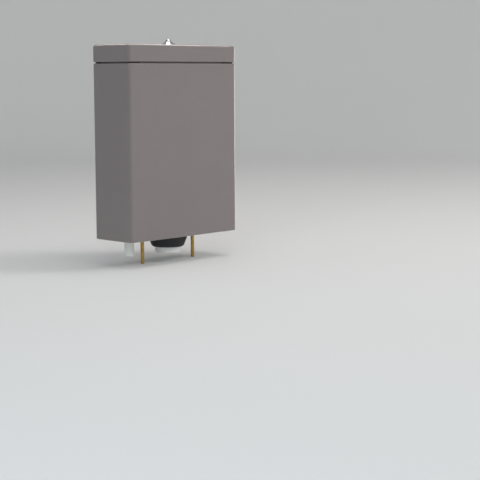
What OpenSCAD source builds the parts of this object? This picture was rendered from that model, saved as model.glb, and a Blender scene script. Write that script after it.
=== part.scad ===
// Close-coupled ceramic toilet cistern with a concentric dual-flush push button,
// a lift-tube flush valve and a float-cup fill valve.
// Frame: origin on the flush outlet axis in the plane the foot stands on, X to the
// right, Y towards the wall, Z up. All sizes are in millimetres.

/* [Tank] */
// Outer width of the tank
tank_w = 334; // [312:1:420]
// Outer depth of the tank, front to wall
tank_d = 121; // [116:1:180]
// Height of the rim above the foot
tank_h = 392; // [380:1:440]
// Thickness of the walls
tank_wall = 9; // [7:0.5:10]
// Thickness of the floor
tank_floor = 11; // [8:0.5:16]
// Radius of the upright outer corners
corner_r = 7; // [5:0.5:14]
// Radius along the rim and along the bottom edge
edge_r = 3; // [1:0.5:4]
// Radius of the upright corners inside the tank and the lid
cavity_r = 9; // [7:0.5:16]
// Radius where the inner walls meet the floor
floor_r = 6; // [3:0.5:8]
// Height of the foot that runs round the base
foot_h = 8; // [7:0.5:12]
// Width of the foot
foot_w = 10; // [8:0.5:11]
// Distance between the two wall screw holes
wall_hole_pitch = 200; // [140:1:240]
// Diameter of a wall screw hole
wall_hole_d = 9; // [6:0.5:12]
// Distance of the wall screw holes below the rim
wall_hole_drop = 52; // [40:1:70]

/* [Lid] */
// Height of the lid
lid_h = 39; // [34:0.5:50]
// Thickness of the top of the lid
lid_top_t = 12; // [9:0.5:14]
// How far the lid stands out past the tank at the sides
lid_over = 1; // [0.5:0.5:3]
// Radius along the top edge of the lid
lid_edge_r = 7; // [4:0.5:8]
// Radius along the lower edge of the lid
lid_foot_r = 2.5; // [1:0.5:3]
// Thickness of the buffers that carry the lid
pad_t = 2.5; // [1.5:0.5:4]
// Length of a buffer
pad_l = 30; // [10:1:40]
// Width of a buffer
pad_w = 5; // [3:0.5:5]
// Distance of the buffers from the ends of the tank
pad_inset = 6; // [5:0.5:40]
// Thickness of the locating rim under the lid
rim_t = 4.5; // [3.5:0.5:5]
// How far the locating rim reaches into the tank
rim_drop = 10; // [5:0.5:16]

/* [Push button] */
// Distance of the button in front of the flush outlet axis
button_set = 9; // [0:0.5:10]
// Diameter of the bezel
bezel_d = 36; // [35:0.5:44]
// Thickness of the bezel at its rim
bezel_edge = 1.6; // [1:0.1:2.4]
// Height of the bezel at its inner edge
bezel_rise = 3.4; // [2.6:0.1:4]
// Wall of the bezel barrel
barrel_wall = 2.1; // [1.5:0.1:2.4]
// Length of the bezel barrel below the lid's top
barrel_l = 39; // [34:0.5:44]
// Thickness of the web at the bottom of the barrel
web_t = 3; // [2:0.5:4]
// Diameter of the full flush ring
ring_d = 26; // [25.5:0.1:26.6]
// Height of the ring's outer edge above the lid
ring_edge = 3.6; // [2.8:0.1:4.4]
// Height of the ring's inner edge above the lid
ring_rise = 6.4; // [5:0.1:8]
// Diameter of the half flush dome
dome_d = 15.8; // [15:0.1:16.2]
// Height of the dome above the lid
dome_rise = 13.2; // [11:0.1:16]
// How deep the buttons sit below the lid's top
button_depth = 9.5; // [8:0.5:12]
// Travel of each button
press = 7; // [5:0.5:8]
// Diameter of the push rods
rod_d = 4.8; // [4:0.1:5]
// Thickness of the leg that joins the ring to its rod
leg_t = 1.6; // [1.2:0.1:2]
// Diameter of the boss that holds the rod on the leg
boss_d = 7.6; // [7:0.1:8.4]
// Length of the boss
boss_l = 12; // [10:0.5:16]
// Diameter of the retaining clip on the half flush rod
clip_d = 8.4; // [7:0.1:10]
// Thickness of the retaining clip
clip_t = 2.5; // [1.5:0.5:4]
// Thickness of the bezel gasket
gasket_t = 2; // [1:0.5:3]
// Height of the bezel nut
bezel_nut_h = 8; // [5:0.5:9]
// Thickness of the rim of the bezel nut
bezel_nut_t = 4; // [3:0.5:6]
// Wire of the full flush spring
ring_wire = 1.0; // [0.8:0.1:1.2]
// Middle diameter of the full flush spring
ring_coil_d = 19.4; // [19:0.1:19.8]
// Turns of the full flush spring
ring_turns = 5; // [4:1:7]
// Wire of the half flush spring
dome_wire = 0.9; // [0.7:0.1:1.1]
// Middle diameter of the half flush spring
dome_coil_d = 10; // [9:0.1:11]
// Turns of the half flush spring
dome_turns = 6; // [4:1:8]

/* [Flush valve] */
// Diameter of the threaded tail
tail_d = 59.6; // [59:0.1:60]
// Bore of the tail
tail_bore = 50; // [46:0.5:52]
// Length of the tail below the foot plane
tail_l = 40; // [34:0.5:50]
// Diameter of the flange on the floor
flange_d = 84; // [80:0.5:90]
// Thickness of the flange
flange_t = 4; // [3:0.5:6]
// Thickness of the washer under the flange
seat_washer_t = 3; // [2:0.5:5]
// Height of the sealing lip above the flange
lip_h = 6; // [4:0.5:8]
// Width of the sealing lip
lip_w = 2.5; // [2:0.1:3]
// Height of the water windows above the flange
window_h = 32; // [28:0.5:40]
// Width of a post between two windows, in degrees
post_angle = 22; // [14:1:30]
// Thickness of the posts between the windows
post_t = 4; // [3:0.5:5]
// Height of the ring that joins the posts
cage_ring_h = 6; // [4:0.5:9]
// Height of the tower's foot ring
tower_ring_h = 6; // [4:0.5:9]
// Width of a tower post
tower_post_w = 22; // [14:1:26]
// Thickness of a tower post
tower_post_t = 6; // [4:0.5:7]
// Height of the tower's guide rings
guide_h = 8; // [5:0.5:12]
// Height of the lower guide ring above the foot plane
guide_low = 110; // [100:1:130]
// Height of the upper guide ring above the foot plane
guide_high = 215; // [205:1:240]
// Outer diameter of the overflow tube
tube_d = 32; // [30:0.5:34]
// Wall of the overflow tube
tube_wall = 2; // [1.5:0.1:3]
// Height of the overflow edge above the foot plane
overflow_h = 285; // [275:1:290]
// Diameter of the disc that carries the seal
carrier_d = 62; // [60:0.5:64]
// Thickness of that disc
carrier_t = 4; // [3:0.5:6]
// Thickness of the outlet seal
seal_t = 2.5; // [2:0.1:4]
// Diameter of the outlet seal
seal_d = 64; // [62:0.5:65]
// Diameter of the spigot that the seal is stretched over
hub_d = 44; // [40:0.5:45]
// Height of the nut under the floor
tail_nut_h = 10; // [8:0.5:12]
// Diameter of the nut under the floor, between its grips
tail_nut_d = 75; // [72:0.5:76]
// Diameter of the nut's grips
tail_grip_d = 5; // [3:0.5:5]
// Diameter of the coupling seal where it meets the tank
coupling_d = 92; // [91:0.5:94]
// Diameter of the coupling seal at its lower end
coupling_end_d = 76; // [70:0.5:84]
// Length of the coupling seal below the foot plane
coupling_l = 26; // [18:0.5:32]

/* [Levers] */
// Arm of the full flush lever from its pivot to the rod
full_in = 13.8; // [13:0.1:15]
// Arm of the half flush lever from its pivot to the rod
half_in = 18; // [17:0.1:20]
// Arm of both levers from the pivot to the lifting nose
lever_out = 20; // [18:0.5:24]
// Width of the levers
lever_w = 12; // [8:0.5:14]
// Thickness of the lever arms
lever_t = 3; // [2.5:0.1:4]
// Diameter of the lever hubs
hub_lever_d = 9; // [8:0.1:10]
// Diameter of the lifting noses
nose_d = 6; // [5:0.1:7]
// Diameter of the lever pins
pin_d = 4; // [3:0.1:5]
// Thickness of the ears that hold the pins
ear_t = 3; // [2:0.5:4]
// Height of the pivots above the bridge
pivot_rise = 13; // [12:0.5:16]
// Thickness of the bridge on the tower
bridge_t = 4; // [3:0.5:6]
// Width of the lifting straps
strap_w = 10; // [6:0.5:12]
// Thickness of the lifting straps
strap_t = 3; // [2:0.5:4]
// Thickness of the lifting hooks
hook_t = 4; // [3:0.5:6]
// Height of the clamp of the lifting strap on the tube
yoke_h = 10; // [6:0.5:14]
// Distance of that clamp below the overflow edge
yoke_drop = 24; // [18:0.5:30]

/* [Half flush float] */
// Thickness of the rail on the tower
rail_t = 4; // [3:0.5:5]
// Width of the rail on the tower
rail_w = 10; // [8:0.5:12]
// Wall of the runner on the rail
runner_wall = 3; // [2:0.5:4]
// Height of the float and its runner
half_float_h = 42; // [30:1:50]
// Height of the float's underside above the foot plane
half_float_z = 150; // [140:1:155]
// Depth of the float away from the rail
half_float_l = 20; // [14:0.5:24]
// Width of the float
half_float_w = 34; // [26:0.5:44]

/* [Fill valve] */
// Diameter of the threaded inlet shank
shank_d = 20.96; // [20.9:0.01:21]
// Bore of the inlet shank
shank_bore = 12; // [10:0.5:14]
// Length of the shank below the foot plane
shank_l = 38; // [30:0.5:50]
// Diameter of the shank's flange
shank_flange_d = 36; // [32:0.5:40]
// Thickness of the shank's flange
shank_flange_t = 4; // [3:0.5:6]
// Thickness of the inlet washer
inlet_washer_t = 3; // [2:0.5:4]
// Width of the inlet nut across its flats
inlet_nut_af = 30; // [27:0.5:36]
// Height of the inlet nut
inlet_nut_h = 6; // [4:0.5:6.5]
// Diameter of the riser inside the column
riser_d = 18; // [17:0.1:19]
// Outer diameter of the column
column_d = 27; // [26:0.5:28]
// Wall of the column
column_wall = 1.5; // [1.2:0.1:1.8]
// Height of the column's lower end above the foot plane
column_z = 70; // [55:1:100]
// Height of the valve head above the foot plane
head_z = 262; // [250:1:275]
// Height of the valve head
head_h = 20; // [14:0.5:26]
// Diameter of the valve head
head_d = 36; // [33:0.5:38]
// Thickness of the diaphragm
diaphragm_t = 2; // [1:0.5:3]
// Height of the valve cap
cap_h = 9; // [6:0.5:12]
// Outer diameter of the float cup
float_d = 58; // [54:0.5:62]
// Height of the float cup
float_h = 55; // [40:1:62]
// Height of the float cup's underside above the foot plane
float_z = 165; // [150:1:175]
// Travel of the float cup
float_rise = 15; // [10:0.5:18]
// Free space between the float cup and the side wall
float_clear = 9; // [5:0.5:14]
// Distance of the float arm's hinge from the valve's axis
hinge_x = 4; // [3:0.5:5]
// Length of the float arm's tail beyond its hinge
arm_tail = 10; // [8:0.5:11]
// Diameter of the pilot nozzle under that tail
nozzle_d = 4; // [3:0.5:5]
// Distance of the float link from the valve's axis
link_x = 24; // [22:0.5:26]
// Height of the float arm's hinge above the cap
hinge_rise = 12; // [11:0.5:15]
// Width of the float arm
arm_w = 8; // [6:0.5:10]
// Thickness of the float arm
arm_t = 5; // [4:0.5:6]
// Diameter of the float arm's pins
arm_pin_d = 3; // [2.5:0.1:3.5]
// Thickness of the float link
link_t = 3; // [2:0.5:4]
// Width of the float link
link_w = 9; // [8:0.5:11]
// Length of the inlet filter
filter_l = 18; // [12:0.5:26]

/* [Coupling bolts] */
// Gap between the seal of a bolt and the flange of the inlet
bolt_clear = 8.5; // [1:0.5:10]
// Diameter of the bolts over their thread
bolt_d = 8; // [7.5:0.5:10]
// Diameter of the bolts where the nut and the seal grip them
bolt_neck_d = 7; // [6:0.1:7.2]
// Length of the bolts below the foot plane
bolt_l = 60; // [40:1:80]
// Width of the bolt heads and nuts across their flats
bolt_af = 13; // [11:0.5:17]
// Height of the bolt heads
bolt_head_h = 5.3; // [4:0.1:7]
// Height of the thin nuts under the floor
bolt_nut_h = 4; // [3:0.1:5]
// Diameter of the flat washers
washer_d = 25; // [20:0.5:28]
// Thickness of the flat washers
washer_t = 1.6; // [1:0.1:2]
// Thickness of the rubber seals under the bolt heads
bolt_seal_t = 5; // [3:0.5:7]
// Depth of the seals' cones in the floor holes
bolt_seal_plug = 4; // [2:0.5:6]

/* [Clearances] */
// Between pieces that slide or turn past each other
run_gap = 0.3; // [0.2:0.05:0.5]
// Between a bore and the pin or tube held in it
fit_gap = 0.05; // [0.02:0.01:0.1]
// Between a hole in the ceramic and what passes through it
hole_gap = 2; // [1:0.1:3]
// Between a pushing face and the face that it pushes
touch_gap = 0.25; // [0.2:0.05:0.4]

/* [Hidden] */
$fn = 72;
cut = 1;

// Heights of the tank and the lid
floor_z = foot_h + tank_floor;
lid_z0 = tank_h + pad_t;
lid_z1 = lid_z0 + lid_h;
plate_z = lid_z1 - lid_top_t;
in_w = tank_w - 2 * tank_wall;
in_d = tank_d - 2 * tank_wall;
recess_r = 2;
rim_w = in_w - 2 * hole_gap;
rim_d = in_d - 2 * hole_gap;

// Push button
ring_r = ring_d / 2;
dome_r = dome_d / 2;
barrel_in = ring_r + run_gap;
barrel_out = barrel_in + barrel_wall;
ring_in = dome_r + run_gap;
barrel_z = lid_z1 - barrel_l;
web_z = barrel_z + web_t;
button_z = lid_z1 - button_depth;
rod_r = rod_d / 2;
leg_inset = 0.2;
leg_out = ring_r - leg_inset;
leg_in = leg_out - leg_t;
full_rod_x = (leg_out + leg_in) / 2;
leg_angle = 40;
leg_slack = 4;
socket_l = 7;
bezel_land = 1;
ring_chamfer = 0.6;
gasket_z = plate_z - gasket_t;
bezel_nut_z = gasket_z - bezel_nut_h;
bezel_nut_r = barrel_out + bezel_nut_t;
coil_steps = 8;
coil_sides = 6;

// Lever swing in degrees to each side of level, and the lift that it gives
full_swing = atan(press / 2 / full_in);
half_swing = atan(press / 2 / half_in);
full_lift = 2 * lever_out * sin(full_swing);
half_lift = 2 * lever_out * sin(half_swing);

// Flush valve
tail_r = tail_d / 2;
bore_r = tail_bore / 2;
flange_z = floor_z + seat_washer_t;
flange_top = flange_z + flange_t;
lip_z = flange_top + lip_h;
cage_z = flange_top + window_h;
cage_top = cage_z + cage_ring_h;
seal_z = lip_z + touch_gap;
carrier_z = seal_z + seal_t;
seal_room = 3;
cage_lip = 1;
cage_in = seal_d / 2 + seal_room;
tower_in = carrier_d / 2 - cage_lip;
cage_out = cage_in + post_t + cage_lip;
tail_chamfer = 2;
lip_chamfer = 0.8;
relief_w = 2;
relief_d = 0.6;
washer_inset = 1;
coupling_chamfer = 3;
skirt_w = 6;
skirt_h = 8;
tube_r = tube_d / 2;
guide_in = tube_r + run_gap;
guide_wall = 3.5;
guide_out = guide_in + guide_wall;
post_inset = 3;
post_y = tower_in - post_inset;
bridge_room = 3;
bridge_z = overflow_h + full_lift + bridge_room;
bridge_top = bridge_z + bridge_t;
pivot_z = bridge_top + pivot_rise;
rod_tip_z = pivot_z + press / 2;
full_pivot_x = full_rod_x + full_in;
half_pivot_x = -half_in;
nose_r = nose_d / 2;
pad_end = 4;
lever_rib = 1.8;
ear_y = lever_w / 2 + run_gap;
pin_l = 2 * (ear_y + ear_t);
full_hook_z = pivot_z - lever_out * sin(full_swing) + nose_r + touch_gap;
half_hook_z = pivot_z - lever_out * sin(half_swing) + nose_r + touch_gap;
strap_room = 1;
full_strap_x = full_pivot_x + lever_out + nose_r + strap_room;
half_strap_x = -half_pivot_x + lever_out + nose_r + strap_room;
hook_reach = 9;
hook_l = hook_reach + strap_t;
yoke_z = overflow_h - yoke_drop;
bridge_end = 8;
bridge_x = full_pivot_x + bridge_end;
rail_room = 6;
rail_x = guide_out + rail_room;
rail_foot = 12;
rail_z = half_float_z - rail_foot;
runner_in = rail_x - run_gap;
runner_out = rail_x + rail_t + run_gap;
float_face = runner_out + runner_wall;
half_float_r = 4;

// Fill valve
fill_x = -(in_w / 2 - float_clear - float_d / 2);
shank_r = shank_d / 2;
shank_flange_z = floor_z + inlet_washer_t;
shank_flange_top = shank_flange_z + shank_flange_t;
column_r = column_d / 2;
column_in = column_r - column_wall;
spigot_h = 4;
port_wall = 0.4;
port_d = column_in - riser_d / 2 - 2 * port_wall;
port_x = (column_in + riser_d / 2) / 2;
head_top = head_z + head_h;
cap_z = head_top + diaphragm_t;
cap_top = cap_z + cap_h;
hinge_z = cap_top + hinge_rise;
arm_l = hinge_x + link_x;
arm_swing = asin(float_rise / 2 / arm_l);
arm_end_z = hinge_z - arm_l * sin(arm_swing);
nozzle_top = hinge_z - arm_tail * sin(arm_swing) - arm_t / 2 - touch_gap;
arm_ear_y = arm_w / 2 + run_gap;
slot_slack = 2 * (arm_l - arm_l * cos(arm_swing)) + 2 * run_gap;
stop_h = 5;
stop_w = 4;
shank_chamfer = 1;
filter_wall = 1.2;
cap_chamfer = 2;
float_chamfer = 2;

// Bolts
bolt_r = bolt_d / 2;
neck_r = bolt_neck_d / 2;
bolt_hole_r = bolt_r + hole_gap;
seal_taper = 1;
bolt_x = -fill_x - shank_flange_d / 2 - washer_d / 2 - seal_taper - bolt_clear;
seal_top = floor_z + bolt_seal_t;
head_bottom = seal_top + washer_t;
nut_top = foot_h - washer_t;
thread_gap = 1.4;
thread_top = nut_top - bolt_nut_h - thread_gap;

// Colours
greige = [0.57, 0.54, 0.51];
chrome = [0.84, 0.85, 0.87];
rubber = [0.13, 0.13, 0.14];
white_plastic = [0.93, 0.93, 0.91];
blue_plastic = [0.20, 0.42, 0.70];
grey_plastic = [0.66, 0.68, 0.70];
red_silicone = [0.70, 0.22, 0.18];
steel = [0.68, 0.69, 0.71];
brass = [0.76, 0.62, 0.30];

// Shapes shared by several pieces

// Upright tube between two heights
module tube(r_out, r_in, z0, z1) {
    translate([0, 0, z0])
        difference() {
            cylinder(r = r_out, h = z1 - z0);
            translate([0, 0, -cut]) cylinder(r = r_in, h = z1 - z0 + 2 * cut);
        }
}

// Piece of a ring, centred on the direction given
module ring_piece(r_out, r_in, z0, z1, direction, angle) {
    rotate(direction - angle / 2)
        rotate_extrude(angle = angle)
            translate([r_in, z0]) square([r_out - r_in, z1 - z0]);
}

// Round bar along Y through a point of the XZ plane
module cross_bar(x, z, r, length) {
    translate([x, 0, z]) rotate([90, 0, 0]) cylinder(r = r, h = length, center = true);
}

// Box given by its lowest corner and its highest corner
module span(low, high) {
    translate(low) cube(high - low);
}

// Quarter of a disc in the first quadrant
module quarter(r) {
    intersection() {
        circle(r);
        square(r);
    }
}

// Half of a block's upright section, with rounded lower and upper outer edges
module block_side(half, z0, z1, r_low, r_high) {
    translate([0, z0 + r_low]) square([half, z1 - z0 - r_low - r_high]);
    translate([0, z0]) square([half - r_low, r_low]);
    translate([0, z1 - r_high]) square([half - r_high, r_high]);
    translate([half - r_low, z0 + r_low]) mirror([0, 1]) quarter(r_low);
    translate([half - r_high, z1 - r_high]) quarter(r_high);
}

module block_section(half, z0, z1, r_low, r_high) {
    block_side(half, z0, z1, r_low, r_high);
    mirror([1, 0]) block_side(half, z0, z1, r_low, r_high);
}

// Block with upright corners of radius r and rounded lower and upper edges
module rounded_block(w, d, z0, z1, r, r_low, r_high) {
    rotate([90, 0, 90])
        linear_extrude(height = w - 2 * r, center = true)
            block_section(d / 2, z0, z1, r_low, r_high);
    rotate([90, 0, 0])
        linear_extrude(height = d - 2 * r, center = true)
            block_section(w / 2, z0, z1, r_low, r_high);
    for (k = [0 : 3])
        translate([(k == 0 || k == 3 ? 1 : -1) * (w / 2 - r), (k < 2 ? 1 : -1) * (d / 2 - r), 0])
            rotate(90 * k)
                rotate_extrude(angle = 90)
                    block_side(r, z0, z1, r_low, r_high);
}

// Centres of a helix with straight ends, from the lower to the upper seat
function coil_points(r, turns, z0, z1, wire) =
    let (steps = coil_steps * turns, climb = (z1 - z0 - wire) / steps, turn = 360 / coil_steps)
    concat(
        [[r, -wire, z0 + wire / 2]],
        [for (i = [0 : steps])
            [r * cos(turn * i), r * sin(turn * i), z0 + wire / 2 + i * climb]],
        [[r, wire, z1 - wire / 2]]);

// Least space between turns, measured between points more than half a turn apart
function coil_gap(points, wire) =
    let (apart = coil_steps / 2 + 1)
    min([for (i = [0 : len(points) - 1 - apart], j = [i + apart : len(points) - 1])
        norm(points[i] - points[j])]) - wire;

// Wire with flat sides along the points of a helix
module coil(points, wire) {
    last = len(points) - 1;
    n = coil_sides;
    ring_points = [for (i = [0 : last], k = [0 : n - 1])
        let (way = points[min(i + 1, last)] - points[max(i - 1, 0)],
            side = cross([0, 0, 1], way) / norm(cross([0, 0, 1], way)),
            up = cross(way, side) / norm(way))
        points[i] + wire / 2 * (cos(360 / n * k) * side + sin(360 / n * k) * up)];
    walls = [for (i = [0 : last - 1], k = [0 : n - 1])
        let (a = n * i + k, b = n * i + (k + 1) % n)
        each [[a, a + n, b], [b, a + n, b + n]]];
    ends = [for (k = [1 : n - 2]) each [[0, k, k + 1], [n * last, n * last + k + 1, n * last + k]]];
    polyhedron(ring_points, concat(walls, ends));
}

ring_coil = coil_points(ring_coil_d / 2, ring_turns, web_z + fit_gap, button_z - fit_gap, ring_wire);
dome_coil = coil_points(dome_coil_d / 2, dome_turns, web_z + fit_gap, button_z - fit_gap, dome_wire);
echo(ring_spring_gap = coil_gap(ring_coil, ring_wire), dome_spring_gap = coil_gap(dome_coil, dome_wire));
echo(full_swing = full_swing, half_swing = half_swing, full_lift = full_lift, half_lift = half_lift);
echo(pivot_z = pivot_z, full_pivot_x = full_pivot_x, half_pivot_x = half_pivot_x);
echo(arm_swing = arm_swing, hinge_z = hinge_z, fill_x = fill_x);

// Lever lying along X with its pivot at the origin, its pad towards -X and its nose towards +X
module lever(in_arm) {
    pad_top = -(rod_r + touch_gap);
    pad_low = pad_top - lever_t;
    difference() {
        union() {
            cross_bar(0, 0, hub_lever_d / 2, lever_w);
            span([-in_arm - pad_end, -lever_w / 2, pad_low], [0, lever_w / 2, pad_top]);
            span([-in_arm - pad_end, -button_set - pad_end, pad_low], [-in_arm + pad_end, 0, pad_top]);
            span([0, -lever_w / 2, -lever_t / 2], [lever_out, lever_w / 2, lever_t / 2]);
            cross_bar(lever_out, 0, nose_r, lever_w);
            span([-in_arm, -lever_t / 2, pad_low - lever_rib], [0, lever_t / 2, pad_low + lever_rib]);
        }
        cross_bar(0, 0, pin_d / 2 + fit_gap, lever_w + 2 * cut);
    }
}

// Upright strap with a hook that reaches inwards over a lever's nose
module strap(x, z0, hook_z) {
    span([x, -strap_w / 2, z0], [x + strap_t, strap_w / 2, hook_z + hook_t]);
    span([x + strap_t - hook_l, -strap_w / 2, hook_z], [x + strap_t, strap_w / 2, hook_z + hook_t]);
}

// Pair of ears with the holes for a lever's pin
module ears(x) {
    for (side = [-1, 1])
        translate([x, side * (ear_y + ear_t / 2), 0])
            difference() {
                union() {
                    span([-hub_lever_d / 2, -ear_t / 2, bridge_top - cut],
                        [hub_lever_d / 2, ear_t / 2, pivot_z]);
                    cross_bar(0, pivot_z, hub_lever_d / 2, ear_t);
                }
                cross_bar(0, pivot_z, pin_d / 2 + fit_gap, ear_t + 2 * cut);
            }
}

// Place of the push button
module at_button() {
    translate([0, -button_set, 0]) children();
}

// Places of the two coupling bolts
module at_bolts() {
    for (side = [-1, 1]) translate([side * bolt_x, 0, 0]) children();
}

// Hexagonal prism between two heights, by its width across flats
module hexagon(width, z0, z1) {
    translate([0, 0, z0]) cylinder(r = width / sqrt(3), h = z1 - z0, $fn = 6);
}

// Tank and lid

module tank() {
    color(greige)
        difference() {
            rounded_block(tank_w, tank_d, 0, tank_h, corner_r, edge_r, edge_r);
            rounded_block(in_w, in_d, floor_z, tank_h + 2 * cut, cavity_r, floor_r, cut);
            rounded_block(tank_w - 2 * foot_w, tank_d - 2 * foot_w, -2 * cut, foot_h,
                cavity_r, cut, recess_r);
            cylinder(r = tail_r + hole_gap, h = floor_z + cut);
            translate([fill_x, 0, 0]) cylinder(r = shank_r + hole_gap, h = floor_z + cut);
            at_bolts() cylinder(r = bolt_hole_r, h = floor_z + cut);
            for (side = [-1, 1])
                translate([side * wall_hole_pitch / 2, in_d / 2 - cut, tank_h - wall_hole_drop])
                    rotate([-90, 0, 0]) cylinder(d = wall_hole_d, h = tank_wall + 2 * cut);
        }
}

module lid() {
    color(greige)
        difference() {
            union() {
                rounded_block(tank_w + 2 * lid_over, tank_d, lid_z0, lid_z1,
                    corner_r + lid_over, lid_foot_r, lid_edge_r);
                rounded_block(rim_w, rim_d, lid_z0 - rim_drop, plate_z, cavity_r, recess_r, cut);
            }
            rounded_block(rim_w - 2 * rim_t, rim_d - 2 * rim_t, lid_z0 - rim_drop - 2 * cut, plate_z,
                cavity_r - rim_t, cut, recess_r);
            at_button()
                translate([0, 0, plate_z - cut])
                    cylinder(r = barrel_out + hole_gap / 2, h = lid_top_t + 2 * cut);
        }
}

module lid_pads() {
    pad_x = tank_w / 2 - pad_inset - pad_l / 2;
    pad_y = in_d / 2 + pad_w / 2 + run_gap;
    color(rubber)
        for (sx = [-1, 1], sy = [-1, 1])
            translate([sx * pad_x, sy * pad_y, tank_h])
                linear_extrude(height = pad_t) {
                    square([pad_l - pad_w, pad_w], center = true);
                    for (end = [-1, 1]) translate([end * (pad_l - pad_w) / 2, 0]) circle(d = pad_w);
                }
}

// Push button

module button_bezel() {
    rod_hole = rod_r + run_gap;
    color(chrome)
        at_button()
            difference() {
                rotate_extrude()
                    polygon([
                        [rod_hole, barrel_z],
                        [barrel_out, barrel_z],
                        [barrel_out, lid_z1],
                        [bezel_d / 2, lid_z1],
                        [bezel_d / 2, lid_z1 + bezel_edge / 2],
                        [bezel_d / 2 - bezel_edge / 2, lid_z1 + bezel_edge],
                        [barrel_in + bezel_land, lid_z1 + bezel_rise],
                        [barrel_in, lid_z1 + bezel_rise],
                        [barrel_in, web_z],
                        [rod_hole, web_z]
                    ]);
                ring_piece(leg_out + run_gap, leg_in - run_gap, barrel_z - cut, web_z + cut,
                    0, leg_angle + 2 * leg_slack);
            }
}

module bezel_gasket() {
    color(rubber) at_button() tube(bezel_nut_r, barrel_out + fit_gap, gasket_z, plate_z);
}

module bezel_nut() {
    grips = 8;
    color(white_plastic)
        at_button()
            difference() {
                union() {
                    translate([0, 0, bezel_nut_z]) cylinder(r = bezel_nut_r, h = bezel_nut_h);
                    for (k = [1 : grips])
                        rotate(k * 360 / grips)
                            translate([bezel_nut_r, 0, bezel_nut_z])
                                cylinder(r = bezel_nut_t / 2, h = bezel_nut_h - gasket_t);
                }
                translate([0, 0, bezel_nut_z - cut])
                    cylinder(r = barrel_out + fit_gap, h = bezel_nut_h + 2 * cut);
            }
}

module full_flush_ring() {
    boss_top = barrel_z - run_gap;
    boss_z = boss_top - boss_l;
    color(chrome)
        at_button()
            difference() {
                union() {
                    rotate_extrude()
                        polygon([
                            [ring_in, button_z],
                            [ring_r, button_z],
                            [ring_r, lid_z1 + ring_edge - ring_chamfer],
                            [ring_r - ring_chamfer, lid_z1 + ring_edge],
                            [ring_in + ring_chamfer, lid_z1 + ring_rise],
                            [ring_in, lid_z1 + ring_rise - ring_chamfer]
                        ]);
                    ring_piece(leg_out, leg_in, boss_z + socket_l, button_z + cut, 0, leg_angle);
                    translate([full_rod_x, 0, boss_z]) cylinder(d = boss_d, h = boss_l);
                }
                translate([full_rod_x, 0, boss_z - cut])
                    cylinder(r = rod_r + fit_gap, h = socket_l + cut);
            }
}

module half_flush_dome() {
    shoulder = lid_z1 + dome_rise - dome_r;
    color(chrome)
        at_button()
            difference() {
                union() {
                    translate([0, 0, shoulder]) sphere(r = dome_r);
                    translate([0, 0, button_z]) cylinder(r = dome_r, h = shoulder - button_z);
                }
                translate([0, 0, button_z - cut]) cylinder(r = rod_r + fit_gap, h = socket_l + cut);
            }
}

// Push rod with a round tip that rests on a lever
module push_rod(top) {
    translate([0, 0, rod_tip_z]) {
        sphere(r = rod_r);
        cylinder(r = rod_r, h = top - rod_tip_z);
    }
}

module full_flush_rod() {
    color(white_plastic)
        at_button()
            translate([full_rod_x, 0, 0]) push_rod(barrel_z - run_gap - boss_l + socket_l);
}

module half_flush_rod() {
    color(blue_plastic)
        at_button() {
            push_rod(button_z + socket_l);
            translate([0, 0, barrel_z - run_gap - clip_t]) cylinder(d = clip_d, h = clip_t);
        }
}

module full_flush_spring() {
    color(steel) at_button() coil(ring_coil, ring_wire);
}

module half_flush_spring() {
    color(steel) at_button() coil(dome_coil, dome_wire);
}

// Flush valve

module flush_valve_seat() {
    posts = 4;
    color(white_plastic) {
        rotate_extrude()
            polygon([
                [bore_r, -tail_l],
                [tail_r - tail_chamfer, -tail_l],
                [tail_r, tail_chamfer - tail_l],
                [tail_r, -coupling_l - relief_w],
                [tail_r - relief_d, -coupling_l - relief_w],
                [tail_r - relief_d, -coupling_l],
                [tail_r, -coupling_l],
                [tail_r, flange_z],
                [flange_d / 2, flange_z],
                [flange_d / 2, flange_top],
                [bore_r + 2 * lip_w, flange_top],
                [bore_r + lip_w, lip_z - lip_chamfer],
                [bore_r + lip_w - lip_chamfer, lip_z],
                [bore_r + lip_chamfer, lip_z],
                [bore_r, lip_z - lip_chamfer]
            ]);
        for (k = [0 : posts - 1])
            ring_piece(cage_in + post_t, cage_in, flange_top - cut, cage_z + cut,
                (k + 0.5) * 360 / posts, post_angle);
        tube(cage_out, cage_in - cage_lip, cage_z, cage_top);
    }
}

module seat_washer() {
    color(rubber) tube(flange_d / 2 - washer_inset, tail_r + run_gap, floor_z, flange_z);
}

module tail_nut() {
    grips = 10;
    color(white_plastic)
        difference() {
            union() {
                translate([0, 0, foot_h - tail_nut_h]) cylinder(d = tail_nut_d, h = tail_nut_h);
                for (k = [1 : grips])
                    rotate(k * 360 / grips)
                        translate([tail_nut_d / 2, 0, foot_h - tail_nut_h])
                            cylinder(d = tail_grip_d, h = tail_nut_h);
            }
            translate([0, 0, foot_h - tail_nut_h - cut])
                cylinder(r = tail_r + fit_gap, h = tail_nut_h + 2 * cut);
        }
}

module coupling_seal() {
    pocket_r = (tail_nut_d + tail_grip_d) / 2 + run_gap;
    pocket_z = foot_h - tail_nut_h - run_gap;
    color(rubber)
        rotate_extrude()
            polygon([
                [tail_r + run_gap, -coupling_l],
                [coupling_end_d / 2 - coupling_chamfer, -coupling_l],
                [coupling_end_d / 2, coupling_chamfer - coupling_l],
                [coupling_d / 2, pocket_z],
                [coupling_d / 2, foot_h],
                [pocket_r, foot_h],
                [pocket_r, pocket_z],
                [tail_r + run_gap, pocket_z]
            ]);
}

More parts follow.
